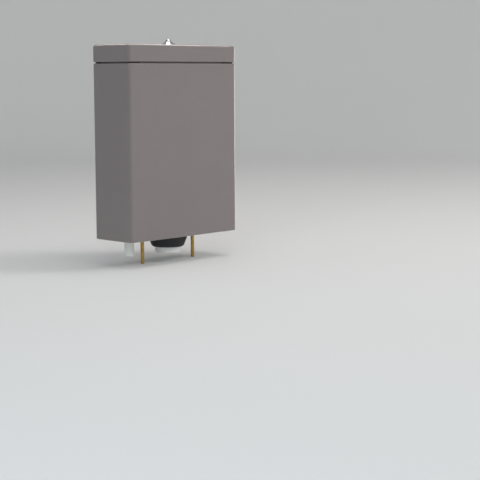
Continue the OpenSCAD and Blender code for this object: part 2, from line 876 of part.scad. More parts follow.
module flush_valve_tower() {
    color(blue_plastic) {
        tube(cage_out, tower_in, cage_top, cage_top + tower_ring_h);
        for (side = [-1, 1])
            mirror([0, side < 0 ? 1 : 0, 0])
                span([-tower_post_w / 2, post_y, cage_top + cut],
                    [tower_post_w / 2, post_y + tower_post_t, bridge_top]);
        for (z = [guide_low, guide_high]) {
            tube(guide_out, guide_in, z, z + guide_h);
            for (side = [-1, 1])
                mirror([0, side < 0 ? 1 : 0, 0])
                    span([-tower_post_t / 2, guide_in + cut, z],
                        [tower_post_t / 2, post_y + cut, z + guide_h]);
        }
        span([-rail_x - cut, -rail_w / 4, guide_high], [-guide_in - cut, rail_w / 4, guide_high + guide_h]);
        span([-rail_x - rail_t, -rail_w / 2, rail_z], [-rail_x, rail_w / 2, bridge_z + cut]);
        difference() {
            span([-bridge_x, -post_y - tower_post_t, bridge_z],
                [bridge_x, post_y + tower_post_t, bridge_top]);
            for (side = [-1, 1])
                mirror([0, side < 0 ? 1 : 0, 0])
                    span([tower_post_w / 2 + cut, ear_y + 2 * ear_t, bridge_z - cut],
                        [bridge_x + cut, post_y + tower_post_t + cut, bridge_top + cut]);
            for (side = [-1, 1])
                mirror([0, side < 0 ? 1 : 0, 0])
                    span([-bridge_x - cut, ear_y + 2 * ear_t, bridge_z - cut],
                        [-tower_post_w / 2 - cut, post_y + tower_post_t + cut, bridge_top + cut]);
        }
        ears(full_pivot_x);
        ears(half_pivot_x);
    }
}

module lever_pins() {
    color(steel)
        for (x = [full_pivot_x, half_pivot_x]) cross_bar(x, pivot_z, pin_d / 2, pin_l);
}

module full_flush_lever() {
    color(white_plastic)
        translate([full_pivot_x, 0, pivot_z]) rotate([0, full_swing, 0]) lever(full_in);
}

module half_flush_lever() {
    color(grey_plastic)
        translate([half_pivot_x, 0, pivot_z])
            mirror([1, 0, 0]) rotate([0, half_swing, 0]) lever(half_in);
}

module overflow_tube() {
    color(white_plastic)
        rotate_extrude()
            polygon([
                [tube_r - tube_wall, carrier_z - seal_t],
                [hub_d / 2 - fit_gap, carrier_z - seal_t],
                [hub_d / 2 - fit_gap, carrier_z],
                [carrier_d / 2, carrier_z],
                [carrier_d / 2, carrier_z + carrier_t],
                [tube_r + skirt_w, carrier_z + carrier_t],
                [tube_r, carrier_z + carrier_t + skirt_h],
                [tube_r, overflow_h],
                [tube_r - tube_wall, overflow_h]
            ]);
}

module outlet_seal() {
    color(red_silicone) tube(seal_d / 2, hub_d / 2, seal_z, carrier_z);
}

module lifting_strap() {
    color(white_plastic) {
        tube(tube_r + fit_gap + strap_t, tube_r + fit_gap, yoke_z, yoke_z + yoke_h);
        span([tube_r + strap_t / 2, -strap_w / 2, yoke_z],
            [full_strap_x + strap_t, strap_w / 2, yoke_z + strap_t]);
        span([tube_r + strap_t / 2, -strap_t / 2, yoke_z],
            [full_strap_x + cut, strap_t / 2, yoke_z + yoke_h]);
        strap(full_strap_x, yoke_z, full_hook_z);
    }
}

module half_flush_float() {
    lip = rail_w / 4 + run_gap;
    side = rail_w / 2 + run_gap;
    top = half_float_z + half_float_h;
    color(grey_plastic)
        mirror([1, 0, 0]) {
            difference() {
                span([runner_in - runner_wall, -side - runner_wall, half_float_z],
                    [float_face, side + runner_wall, top]);
                span([runner_in, -side, half_float_z - cut], [runner_out, side, top + cut]);
                span([runner_in - runner_wall - cut, -lip, half_float_z - cut],
                    [runner_out, lip, top + cut]);
            }
            translate([float_face + half_float_l / 2, 0, 0])
                rounded_block(half_float_l + 2 * cut, half_float_w, half_float_z, top,
                    half_float_r, half_float_r / 2, half_float_r / 2);
            strap(half_strap_x, top - cut, half_hook_z);
        }
}

// Fill valve

module inlet_shank() {
    color(white_plastic)
        translate([fill_x, 0, 0])
            rotate_extrude()
                polygon([
                    [shank_bore / 2, -shank_l],
                    [shank_r - shank_chamfer, -shank_l],
                    [shank_r, shank_chamfer - shank_l],
                    [shank_r, -relief_w],
                    [shank_r - relief_d, -relief_w],
                    [shank_r - relief_d, 0],
                    [shank_r, 0],
                    [shank_r, shank_flange_z],
                    [shank_flange_d / 2, shank_flange_z],
                    [shank_flange_d / 2, shank_flange_top],
                    [riser_d / 2, shank_flange_top],
                    [riser_d / 2, head_z],
                    [shank_bore / 2, head_z]
                ]);
}

module inlet_washer() {
    color(rubber)
        translate([fill_x, 0, 0])
            tube(shank_flange_d / 2 - washer_inset, shank_r + fit_gap, floor_z, shank_flange_z);
}

module inlet_nut() {
    color(white_plastic)
        translate([fill_x, 0, 0])
            difference() {
                hexagon(inlet_nut_af, foot_h - inlet_nut_h, foot_h);
                translate([0, 0, foot_h - inlet_nut_h - cut])
                    cylinder(r = shank_r + fit_gap, h = inlet_nut_h + 2 * cut);
            }
}

module inlet_filter() {
    color(brass)
        translate([fill_x, 0, 0])
            tube(shank_bore / 2 - fit_gap, shank_bore / 2 - filter_wall, -shank_l, filter_l - shank_l);
}

module fill_column() {
    color(white_plastic)
        translate([fill_x, 0, 0]) {
            tube(column_r, column_in, column_z, head_z);
            tube(column_r + stop_w, column_in, float_z - run_gap - stop_h, float_z - run_gap);
        }
}

module fill_valve_head() {
    ports = 6;
    spigot_z = head_z - spigot_h;
    color(grey_plastic)
        translate([fill_x, 0, 0])
            difference() {
                union() {
                    translate([0, 0, head_z]) cylinder(d = head_d, h = head_h);
                    tube(column_in - fit_gap, riser_d / 2 + fit_gap, spigot_z, head_z + cut);
                }
                translate([0, 0, head_z - cut]) cylinder(d = shank_bore, h = head_h + 2 * cut);
                for (k = [1 : ports])
                    rotate(k * 360 / ports)
                        translate([port_x, 0, spigot_z - cut])
                            cylinder(d = port_d, h = head_h + spigot_h + 2 * cut);
            }
}

module fill_diaphragm() {
    color(rubber)
        translate([fill_x, 0, head_top]) cylinder(r = head_d / 2 - washer_inset, h = diaphragm_t);
}

module fill_valve_cap() {
    grips = 12;
    cap_r = head_d / 2 - washer_inset;
    color(blue_plastic)
        translate([fill_x, 0, 0]) {
            translate([0, 0, cap_z]) {
                rotate_extrude()
                    polygon([
                        [0, 0],
                        [cap_r, 0],
                        [cap_r, cap_h - cap_chamfer],
                        [cap_r - cap_chamfer, cap_h],
                        [0, cap_h]
                    ]);
                for (k = [1 : grips])
                    rotate((k + 0.5) * 360 / grips)
                        translate([cap_r, 0, 0]) cylinder(r = washer_inset, h = cap_h - 2 * cap_chamfer);
            }
            translate([-hinge_x - arm_tail, 0, cap_top - cut])
                cylinder(d = nozzle_d, h = nozzle_top - cap_top + cut);
            for (side = [-1, 1])
                translate([-hinge_x, side * (arm_ear_y + ear_t / 2), 0])
                    difference() {
                        union() {
                            span([-link_w / 2, -ear_t / 2, cap_top - cut],
                                [link_w / 2, ear_t / 2, hinge_z]);
                            cross_bar(0, hinge_z, link_w / 2, ear_t);
                        }
                        cross_bar(0, hinge_z, arm_pin_d / 2 + fit_gap, ear_t + 2 * cut);
                    }
        }
}

module float_cup() {
    float_in = column_r + 2 * run_gap;
    float_top = float_z + float_h;
    color(grey_plastic)
        translate([fill_x, 0, 0])
            rotate_extrude()
                polygon([
                    [float_in, float_z],
                    [float_d / 2 - float_chamfer, float_z],
                    [float_d / 2, float_z + float_chamfer],
                    [float_d / 2, float_top - float_chamfer],
                    [float_d / 2 - float_chamfer, float_top],
                    [float_in, float_top]
                ]);
}

module float_link() {
    slot_r = arm_pin_d / 2 + run_gap;
    low = float_z + float_h;
    top = arm_end_z + link_w / 2;
    color(white_plastic)
        translate([fill_x + link_x, arm_w / 2 + run_gap, 0])
            difference() {
                span([-link_w / 2, 0, low], [link_w / 2, link_t, top]);
                translate([0, -cut, arm_end_z])
                    rotate([-90, 0, 0])
                        linear_extrude(height = link_t + 2 * cut) {
                            square([slot_slack, 2 * slot_r], center = true);
                            for (end = [-1, 1]) translate([end * slot_slack / 2, 0]) circle(slot_r);
                        }
            }
}

module float_arm() {
    reach = link_t + 2 * run_gap;
    color(blue_plastic)
        translate([fill_x - hinge_x, 0, hinge_z])
            rotate([0, arm_swing, 0])
                difference() {
                    union() {
                        cross_bar(0, 0, link_w / 2 - run_gap, arm_w);
                        span([-arm_tail, -arm_w / 2, -arm_t / 2], [arm_l, arm_w / 2, arm_t / 2]);
                        for (end = [-arm_tail, arm_l]) cross_bar(end, 0, arm_t / 2, arm_w);
                        translate([arm_l, -arm_w / 2 + cut, 0])
                            rotate([-90, 0, 0]) cylinder(d = arm_pin_d, h = arm_w + reach - cut);
                    }
                    cross_bar(0, 0, arm_pin_d / 2 + fit_gap, arm_w + 2 * cut);
                }
}

module float_arm_pin() {
    color(steel)
        cross_bar(fill_x - hinge_x, hinge_z, arm_pin_d / 2, 2 * (arm_ear_y + ear_t));
}

// Coupling bolts

module coupling_bolts() {
    color(brass)
        at_bolts() {
            hexagon(bolt_af, head_bottom, head_bottom + bolt_head_h);
            translate([0, 0, -bolt_l]) cylinder(r = bolt_r, h = bolt_l + thread_top);
            translate([0, 0, -cut]) cylinder(r = neck_r, h = head_bottom + 2 * cut);
        }
}

module bolt_seals() {
    color(rubber)
        at_bolts()
            rotate_extrude()
                polygon([
                    [neck_r + fit_gap, floor_z - bolt_seal_plug],
                    [bolt_hole_r - seal_taper, floor_z - bolt_seal_plug],
                    [bolt_hole_r - run_gap, floor_z],
                    [washer_d / 2 + seal_taper, floor_z],
                    [washer_d / 2 + seal_taper, floor_z + bolt_seal_t / 2],
                    [washer_d / 2 - seal_taper, seal_top],
                    [neck_r + fit_gap, seal_top]
                ]);
}

module bolt_washers() {
    color(steel)
        at_bolts() {
            tube(washer_d / 2, bolt_r + fit_gap, seal_top, head_bottom);
            tube(washer_d / 2, bolt_r + fit_gap, nut_top, foot_h);
        }
}

module bolt_nuts() {
    color(brass)
        at_bolts()
            difference() {
                hexagon(bolt_af, nut_top - bolt_nut_h, nut_top);
                translate([0, 0, nut_top - bolt_nut_h - cut])
                    cylinder(r = neck_r + fit_gap, h = bolt_nut_h + 2 * cut);
            }
}

tank();
lid();
lid_pads();
button_bezel();
bezel_gasket();
bezel_nut();
full_flush_ring();
half_flush_dome();
full_flush_rod();
half_flush_rod();
full_flush_spring();
half_flush_spring();
flush_valve_seat();
seat_washer();
tail_nut();
coupling_seal();
flush_valve_tower();
lever_pins();
full_flush_lever();
half_flush_lever();
overflow_tube();
outlet_seal();
lifting_strap();
half_flush_float();
inlet_shank();
inlet_washer();
inlet_nut();
inlet_filter();
fill_column();
fill_valve_head();
fill_diaphragm();
fill_valve_cap();
float_cup();
float_link();
float_arm();
float_arm_pin();
coupling_bolts();
bolt_seals();
bolt_washers();
bolt_nuts();
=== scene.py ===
"""Looks for a close-coupled toilet cistern: glaze, chrome, mouldings, springs and threads.

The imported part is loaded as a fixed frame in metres. Each operator dresses one group of its pieces, and the
last one sets up the floor, the lamps and the camera.
"""

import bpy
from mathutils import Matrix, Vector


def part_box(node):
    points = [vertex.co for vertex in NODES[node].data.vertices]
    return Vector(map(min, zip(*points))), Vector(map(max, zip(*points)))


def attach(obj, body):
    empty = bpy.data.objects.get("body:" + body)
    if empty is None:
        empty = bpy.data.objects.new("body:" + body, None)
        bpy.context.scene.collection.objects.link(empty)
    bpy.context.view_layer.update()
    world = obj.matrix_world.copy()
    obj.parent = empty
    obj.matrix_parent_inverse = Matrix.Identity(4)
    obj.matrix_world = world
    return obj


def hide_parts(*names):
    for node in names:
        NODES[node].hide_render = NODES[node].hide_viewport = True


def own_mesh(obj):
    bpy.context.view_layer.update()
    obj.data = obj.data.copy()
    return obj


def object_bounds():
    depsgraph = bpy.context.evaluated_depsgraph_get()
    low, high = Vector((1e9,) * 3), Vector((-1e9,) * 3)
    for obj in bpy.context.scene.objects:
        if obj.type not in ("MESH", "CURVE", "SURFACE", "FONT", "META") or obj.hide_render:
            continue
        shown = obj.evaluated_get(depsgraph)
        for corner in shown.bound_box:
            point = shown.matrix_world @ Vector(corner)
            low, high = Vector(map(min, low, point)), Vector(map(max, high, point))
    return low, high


bl_info = {
    "name": "Toilet Cistern Looks",
    "version": (1, 0, 0),
    "blender": (4, 5, 0),
    "location": "View3D > Sidebar > Cistern",
    "description": "Glaze, chrome, mouldings, springs and threads for a toilet cistern",
    "category": "Object",
}

import math

import bpy
from bpy.props import FloatProperty, FloatVectorProperty, IntProperty, PointerProperty
from mathutils import Matrix, Vector

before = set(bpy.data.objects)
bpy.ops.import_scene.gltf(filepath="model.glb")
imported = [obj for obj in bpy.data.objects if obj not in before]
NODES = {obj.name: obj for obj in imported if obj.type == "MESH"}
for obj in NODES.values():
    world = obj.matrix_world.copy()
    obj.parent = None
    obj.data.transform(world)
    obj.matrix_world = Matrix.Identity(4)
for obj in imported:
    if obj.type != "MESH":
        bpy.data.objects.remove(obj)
CAD_BOX = [list(corner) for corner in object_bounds()]

WHITE_MOULDINGS = (
    "bezel_nut", "full_flush_rod", "flush_valve_seat", "tail_nut", "full_flush_lever", "overflow_tube",
    "lifting_strap", "inlet_shank", "inlet_nut", "fill_column", "float_link",
)
BLUE_MOULDINGS = ("half_flush_rod", "flush_valve_tower", "fill_valve_cap", "float_arm")
GREY_MOULDINGS = ("half_flush_lever", "half_flush_float", "fill_valve_head", "float_cup")
BLACK_SEALS = (
    "lid_pads", "bezel_gasket", "seat_washer", "coupling_seal", "inlet_washer", "fill_diaphragm",
    "bolt_seals",
)
STEEL_PARTS = ("lever_pins", "bolt_washers", "float_arm_pin")
BRASS_PARTS = ("inlet_filter", "coupling_bolts", "bolt_nuts")
CHROME_PARTS = ("button_bezel", "full_flush_ring", "half_flush_dome")

# Shading angles in degrees: faces that meet at more than this show a crease.
CREASE = 34.0
CERAMIC_CREASE = 38.0
CHROME_CREASE = 32.0
BREAK_MARGIN = 6.0  # how much sharper than a crease an edge is before it is broken
WELD_GAP = 1e-6
EVEN_WEIGHT = 80

# Springs: the rise of a closed turn in wire thicknesses, and how far the wire's ends are ground down.
CLOSED_TURN = 1.04
GROUND_END = 0.55

# A thread's ridge: its root in shares of its depth, its foot and flat in shares of its pitch, and the share
# of a turn over which it runs out. Then the threads, each with its radius, its depth and where it ends.
THREAD_ROOT = 0.6
THREAD_FOOT = 0.42
THREAD_FLAT = 0.10
THREAD_RUN_OUT = 0.5
BARREL_DEPTH = 0.00045
BARREL_LOW_GAP = 0.0006
BARREL_HIGH_GAP = 0.0004
OUTLET_RADIUS = 0.0298
OUTLET_REACH = (-0.0382, -0.0279)
OUTLET_DEPTH = 0.00055
OUTLET_STEPS = 56
INLET_RADIUS = 0.01048
INLET_REACH = (-0.0372, -0.0019)
INLET_DEPTH = 0.00038
BOLT_PLACES = (-0.080, 0.080)
BOLT_RADIUS = 0.0040
BOLT_LOW_GAP = 0.0006
BOLT_TOP = 0.0009
BOLT_DEPTH = 0.00022
BOLT_STEPS = 24

# A moulded rib: its height along its length, and its height across its width.
RIB_ENDS = ((0.0, 0.0), (0.03, 0.8), (0.06, 1.0), (0.94, 1.0), (0.97, 0.8), (1.0, 0.0))
RIB_SECTION = ((-0.5, -0.4), (-0.36, 0.75), (-0.2, 1.0), (0.2, 1.0), (0.36, 0.75), (0.5, -0.4))
TOWER_RIB_PLACES = (-0.0072, 0.0, 0.0072)
TOWER_FACE = 0.033
TOWER_RIB_START = 0.012
TOWER_RIB = {"reach": 0.212, "width": 0.0022, "height": 0.0011}
FLOAT_RIBS = 20
FLOAT_RIB_START = 0.005
FLOAT_RIB = {"reach": 0.045, "width": 0.0024, "height": 0.0008}

# The strainer's wires: how far apart they lie, their radius, the rim they end in and the heights of the two
# layers.
WIRE_STEP = 0.0013
WIRE_RADIUS = 0.0002
WIRE_SIDES = 8
WIRES_EACH_SIDE = 3
WIRE_RIM = 0.0012
WIRE_HOLD = 0.0004
WIRE_LAYERS = ((Vector((1.0, 0.0, 0.0)), 0.0012), (Vector((0.0, 1.0, 0.0)), 0.0015))
WIRE_STATIONS = (-1.0, -0.34, 0.34, 1.0)

# The floor: flat out to a radius, then curved up into a wall.
FLOOR_DROP = 0.0002
FLOOR_SIDES = 96
FLOOR_RADII = (0.3, 1.0, 2.4, 3.6)
FLOOR_CURVE = 1.6
CURVE_STEPS = 10
WALL_HEIGHTS = (2.4, 3.4)
LAMP_AIM = (0.0, 0.0, 0.2)
SKY_TINT = (0.97, 0.98, 1.0, 1.0)


def colour(label, about, value):
    """A colour that a user may change."""
    return FloatVectorProperty(
        name=label, description=about, subtype="COLOR", size=3, min=0.0, max=1.0, default=value)


def length(label, about, value):
    """A length that a user may change, in metres."""
    return FloatProperty(
        name=label, description=about, subtype="DISTANCE", unit="LENGTH", min=0.0, precision=5, default=value)


def share(label, about, value):
    """A share from 0 to 1 that a user may change."""
    return FloatProperty(name=label, description=about, subtype="FACTOR", min=0.0, max=1.0, default=value)


def count(label, about, value):
    """A number of turns that a user may change."""
    return IntProperty(name=label, description=about, min=2, default=value)


def power(label, about, value):
    """The power of a lamp that a user may change."""
    return FloatProperty(name=label, description=about, subtype="POWER", unit="POWER", min=0.0, default=value)


class CisternGlaze(bpy.types.PropertyGroup):
    """Colours and gloss of the tank and the lid."""

    main: colour("Glaze", "Main colour of the glaze", (0.212, 0.1815, 0.178))
    deep: colour("Deep glaze", "Colour where the glaze lies thick", (0.196, 0.168, 0.165))
    bare: colour("Bare body", "Colour of the fired body where it has no glaze", (0.62, 0.58, 0.52))
    roughness: share("Roughness", "Roughness of the glaze", 0.40)
    coat: share("Coat", "Weight of the clear layer on the glaze", 0.50)


class CisternFinish(bpy.types.PropertyGroup):
    """Colours of the other finishes."""

    chrome: colour("Chrome", "Colour of the plated button", (0.60, 0.61, 0.63))
    white: colour("White plastic", "Colour of the white mouldings", (0.80, 0.80, 0.77))
    blue: colour("Blue plastic", "Colour of the blue mouldings", (0.045, 0.16, 0.43))
    grey: colour("Grey plastic", "Colour of the grey mouldings", (0.38, 0.40, 0.43))
    rubber: colour("Rubber", "Colour of the black seals", (0.022, 0.022, 0.024))
    silicone: colour("Silicone", "Colour of the outlet seal", (0.43, 0.055, 0.035))
    steel: colour("Steel", "Colour of the springs, pins and washers", (0.56, 0.57, 0.59))
    brass: colour("Brass", "Colour of the bolts, nuts and strainer", (0.62, 0.42, 0.13))


class CisternSizes(bpy.types.PropertyGroup):
    """Sizes of the pieces that are added to the frame."""

    wall: length("Wall", "Thickness of the tank's walls", 0.009)
    foot: length("Foot", "Width of the foot round the base", 0.010)
    lid_top: length("Lid top", "Thickness of the lid's top", 0.012)
    foot_h: length("Foot height", "Height of the foot round the base", 0.008)
    floor_z: length("Tank floor", "Height of the tank's floor inside", 0.019)
    barrel_r: length("Barrel", "Radius of the button's barrel", 0.0154)
    button_y: length("Button set", "How far the button lies in front of the outlet axis", 0.009)
    web_z: length("Spring seat", "Height of the seat under the button springs", 0.3975)
    press: length("Press", "Travel of the buttons", 0.007)
    ring_wire: length("Ring wire", "Wire of the full flush spring", 0.0010)
    ring_coil: length("Ring coil", "Middle radius of the full flush spring", 0.0097)
    dome_wire: length("Dome wire", "Wire of the half flush spring", 0.0009)
    dome_coil: length("Dome coil", "Middle radius of the half flush spring", 0.0050)
    ring_turns: count("Ring turns", "Open turns of the full flush spring", 5)
    dome_turns: count("Dome turns", "Open turns of the half flush spring", 6)
    tail_pitch: length("Tail pitch", "Thread pitch of the flush outlet", 0.0030)
    shank_pitch: length("Shank pitch", "Thread pitch of the water inlet", 0.001814)
    bolt_pitch: length("Bolt pitch", "Thread pitch of the coupling bolts", 0.00125)
    barrel_pitch: length("Barrel pitch", "Thread pitch of the button's barrel", 0.0020)
    soften: length("Edge softening", "Width of the broken edges on mouldings", 0.0003)


class CisternStage(bpy.types.PropertyGroup):
    """Floor, lamps and camera."""

    floor: colour("Floor", "Colour of the floor and backdrop", (0.82, 0.82, 0.815))
    key: power("Key", "Power of the lamp at the front right", 93.0)
    top: power("Top", "Power of the lamp overhead", 34.0)
    side: power("Side", "Power of the lamp at the left", 32.0)
    edge: power("Edge", "Power of the lamp overhead that picks out rounded edges", 32.0)
    front_edge: power("Front edge", "Power of the lamp behind that picks out the upper front edge", 22.0)
    side_edge: power("Side edge", "Power of the lamp behind that picks out the upper side edge", 20.0)
    strip: power("Strip", "Power of the lamp at the right that picks out the upright edges", 16.0)
    sky: share("Sky", "Strength of the light from all round", 0.31)
    lens: FloatProperty(
        name="Lens", description="Focal length of the camera in millimetres", min=1.0, default=97.346)
    eye: FloatVectorProperty(
        name="Eye", description="Place of the camera", subtype="TRANSLATION", unit="LENGTH", size=3,
        default=(-2.056983, -2.163642, 0.363511))
    turn: FloatVectorProperty(
        name="Turn", description="Yaw, pitch and roll of the camera", subtype="EULER", unit="ROTATION",
        size=3, default=(math.radians(-46.763), math.radians(7.213), math.radians(-0.235)))


class Value:
    """A number socket that takes part in Python expressions; each step adds a Math node."""

    def __init__(self, finish, socket):
        self.finish = finish
        self.socket = socket

    def step(self, operation, first, second=0.0, clamp=False):
        settings = {"operation": operation, "use_clamp": clamp}
        return self.finish.add("ShaderNodeMath", settings, {0: first, 1: second})

    def __add__(self, other):
        return self.step("ADD", self, other)

    __radd__ = __add__

    def __sub__(self, other):
        return self.step("SUBTRACT", self, other)

    def __rsub__(self, other):
        return self.step("SUBTRACT", other, self)

    def __mul__(self, other):
        return self.step("MULTIPLY", self, other)

    __rmul__ = __mul__

    def __truediv__(self, other):
        return self.step("DIVIDE", self, other)

    def __rtruediv__(self, other):
        return self.step("DIVIDE", other, self)

    def __lt__(self, other):
        return self.step("LESS_THAN", self, other)

    def __gt__(self, other):
        return self.step("GREATER_THAN", self, other)

    def __abs__(self):
        return self.step("ABSOLUTE", self)

    def within(self):
        """The same value, held between 0 and 1."""
        return self.step("ADD", self, 0.0, clamp=True)


class Finish:
    """A node material with one Principled shader, and the nodes that feed it."""

    def __init__(self, name):
        self.material = bpy.data.materials.new(name)
        self.material.use_nodes = True
        self.tree = self.material.node_tree
        self.tree.nodes.clear()
        self.shader = self.tree.nodes.new("ShaderNodeBsdfPrincipled")
        result = self.tree.nodes.new("ShaderNodeOutputMaterial")
        self.tree.links.new(self.shader.outputs[0], result.inputs[0])
        self.place = self.add("ShaderNodeTexCoord", out="Object")

    def add(self, kind, settings=None, inputs=None, out=0):
        """A node of that type, with its settings, then the values or links of its sockets."""
        node = self.tree.nodes.new(kind)
        for name, value in (settings or {}).items():
            if name == "stops":
                for element, (position, shade) in zip(node.color_ramp.elements, value):
                    element.position = position
                    element.color = shade
            else:
                setattr(node, name, value)
        for name, value in (inputs or {}).items():
            self.feed(node.inputs[name], value)
        return Value(self, node.outputs[out])

    def feed(self, socket, value):
        if isinstance(value, Value):
            self.tree.links.new(value.socket, socket)
        else:
            socket.default_value = value

    def axes(self):
        """X, Y and Z of the point in the part's own frame."""
        split = self.add("ShaderNodeSeparateXYZ", None, {0: self.place})
        outputs = split.socket.node.outputs
        return [Value(self, outputs[i]) for i in range(3)]

    def noise(self, size, detail=2.0, stretch=(1.0, 1.0, 1.0)):
        """Soft noise whose spots are about that many metres across."""
        where = self.place
        if stretch != (1.0, 1.0, 1.0):
            where = self.add("ShaderNodeVectorMath", {"operation": "MULTIPLY"}, {0: self.place, 1: stretch})
        return self.add("ShaderNodeTexNoise", None, {"Vector": where, "Scale": 1.0 / size, "Detail": detail})

    def ramp(self, factor, low, high):
        """0 below low and 1 above high."""
        return self.add(
            "ShaderNodeValToRGB",
            {"stops": [(low, (0.0, 0.0, 0.0, 1.0)), (high, (1.0, 1.0, 1.0, 1.0))]},
            {0: factor},
        )

    def mix(self, factor, first, second):
        """From the first colour to the second."""
        return self.add("ShaderNodeMix", {"data_type": "RGBA"}, {0: factor, 6: first, 7: second}, out=2)

    def bump(self, height, depth, under=None):
        inputs = {"Strength": 1.0, "Distance": depth, "Height": height}
        if under is not None:
            inputs["Normal"] = under
        return self.add("ShaderNodeBump", None, inputs)

    def set(self, **sockets):
        """Feeds the shader's sockets, named with underscores for spaces."""
        for name, value in sockets.items():
            self.feed(self.shader.inputs[name.replace("_", " ")], value)
        return self.material


def shade(tint, level=1.0):
    """A colour socket's value from a setting, lighter or darker."""
    return tuple(min(1.0, c * level) for c in tint) + (1.0,)


def glaze_finish(s, sizes):
    """Satin glaze over fired clay; bare under the foot, in the recess and on the hidden inside."""
    f = Finish("greige_glaze")
    x, y, z = f.axes()
    out_x, out_y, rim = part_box("tank")[1]
    slack = 0.0003
    tank_spray, tank_fade = 0.026, 0.024
    lid_spray, lid_fade = 0.0115, 0.010
    foot_line = 0.0007
    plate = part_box("lid")[1].z - sizes.lid_top + slack
    cloud = f.noise(size=0.085, detail=3.0)
    pool = f.noise(size=0.018, detail=2.0)
    grain = f.noise(size=0.0011, detail=2.0)
    speck = f.ramp(f.noise(size=0.0021, detail=1.0), low=0.70, high=0.76)
    hem = (f.noise(size=0.012, detail=3.0) - 0.5) * 0.030
    wall = sizes.wall - slack
    inner = (abs(x) < out_x - wall) * (abs(y) < out_y - wall) * (z > sizes.floor_z - slack) * (z < plate)
    below_spray = ((rim - tank_spray + hem - z) / tank_fade).within()
    above_spray = ((z + hem - rim - lid_spray) / lid_fade).within()
    foot = z < foot_line
    ring = sizes.foot - slack
    recess = (z < sizes.foot_h + slack) * (abs(x) < out_x - ring) * (abs(y) < out_y - ring)
    bare = (inner * (below_spray + above_spray) + foot + recess).within()
    tone = f.mix((cloud * 0.7 + pool * 0.5).within(), shade(s.deep), shade(s.main, 1.03))
    tone = f.mix(speck * 0.10, tone, shade(s.deep, 0.72))
    tone = f.mix(grain * 0.10, tone, shade(s.main, 1.18))
    clay = f.mix(pool, shade(s.bare, 0.90), shade(s.bare, 1.06))
    wave = f.bump(cloud, depth=0.00035)
    peel = f.bump(f.noise(size=0.0026, detail=1.0) + bare * grain * 2.0, depth=0.000012, under=wave)
    rough = s.roughness + (pool - 0.5) * 0.10 + (grain - 0.5) * 0.05
    return f.set(
        Base_Color=f.mix(bare, tone, clay),
        Roughness=rough + bare * (0.84 - rough),
        Coat_Weight=s.coat * (1.0 - bare),
        Coat_Roughness=0.18,
        Normal=peel,
    )


def chrome_finish(s):
    """Bright plating with faint wiping marks and fingerprints."""
    f = Finish("bright_chrome")
    smudge = f.ramp(f.noise(size=0.0042, detail=4.0), low=0.42, high=0.72)
    wipe = f.noise(size=0.0011, detail=2.0, stretch=(1.0, 6.0, 1.0))
    return f.set(
        Base_Color=f.mix(smudge, shade(s.chrome), shade(s.chrome, 0.93)),
        Metallic=1.0,
        Roughness=0.07 + smudge * 0.07 + wipe * 0.03,
        Normal=f.bump(wipe, depth=0.000004),
    )


def moulded_finish(name, tint, gloss):
    """Injection moulded plastic: flow shading, a fine spark texture and handling scuffs."""
    f = Finish(name)
    flow = f.noise(size=0.030, detail=3.0, stretch=(1.0, 1.0, 0.25))
    spark = f.noise(size=0.0007, detail=2.0)
    scuff = f.ramp(f.noise(size=0.006, detail=4.0, stretch=(1.0, 1.0, 3.0)), low=0.60, high=0.78)
    tone = f.mix(flow, shade(tint, 0.93), shade(tint, 1.05))
    return f.set(
        Base_Color=f.mix(scuff * 0.25, tone, shade(tint, 0.82)),
        Roughness=gloss + flow * 0.08 + scuff * 0.12 + spark * 0.05,
        Normal=f.bump(spark, depth=0.00003),
        Specular_IOR_Level=0.45,
    )


def rubber_finish(name, tint, dust):
    """Moulded rubber with a dull bloom in patches."""
    f = Finish(name)
    bloom = f.ramp(f.noise(size=0.009, detail=4.0), low=0.40, high=0.74)
    skin = f.noise(size=0.0009, detail=3.0)
    return f.set(
        Base_Color=f.mix(bloom * dust, shade(tint), shade(tint, 2.4)),
        Roughness=0.62 + bloom * 0.20 + skin * 0.06,
        Normal=f.bump(skin, depth=0.00006),
        Specular_IOR_Level=0.35,
    )


def steel_finish(s):
    """Drawn stainless steel with fine lines along the draw."""
    f = Finish("drawn_steel")
    line = f.noise(size=0.0006, detail=2.0, stretch=(1.0, 1.0, 0.08))
    stain = f.noise(size=0.008, detail=3.0)
    return f.set(
        Base_Color=f.mix(stain, shade(s.steel, 0.88), shade(s.steel, 1.08)),
        Metallic=1.0,
        Roughness=0.24 + line * 0.12 + stain * 0.06,
        Normal=f.bump(line, depth=0.00001),
    )


def brass_finish(s):
    """Turned brass, dull where it has tarnished."""
    f = Finish("turned_brass")
    tarnish = f.ramp(f.noise(size=0.006, detail=4.0), low=0.38, high=0.72)
    ring = f.noise(size=0.0005, detail=1.0, stretch=(0.1, 0.1, 1.0))
    return f.set(
        Base_Color=f.mix(tarnish, shade(s.brass, 1.06), shade(s.brass, 0.62)),
        Metallic=1.0,
        Roughness=0.22 + tarnish * 0.22 + ring * 0.05,
        Normal=f.bump(ring, depth=0.00001),
    )


def floor_finish(s):
    """Pale matt floor with a barely uneven tone."""
    f = Finish("studio_floor")
    tone = f.noise(size=0.9, detail=3.0)
    return f.set(
        Base_Color=f.mix(tone, shade(s.floor, 0.985), shade(s.floor, 1.01)),
        Roughness=0.86 + tone * 0.06,
        Specular_IOR_Level=0.2,
    )


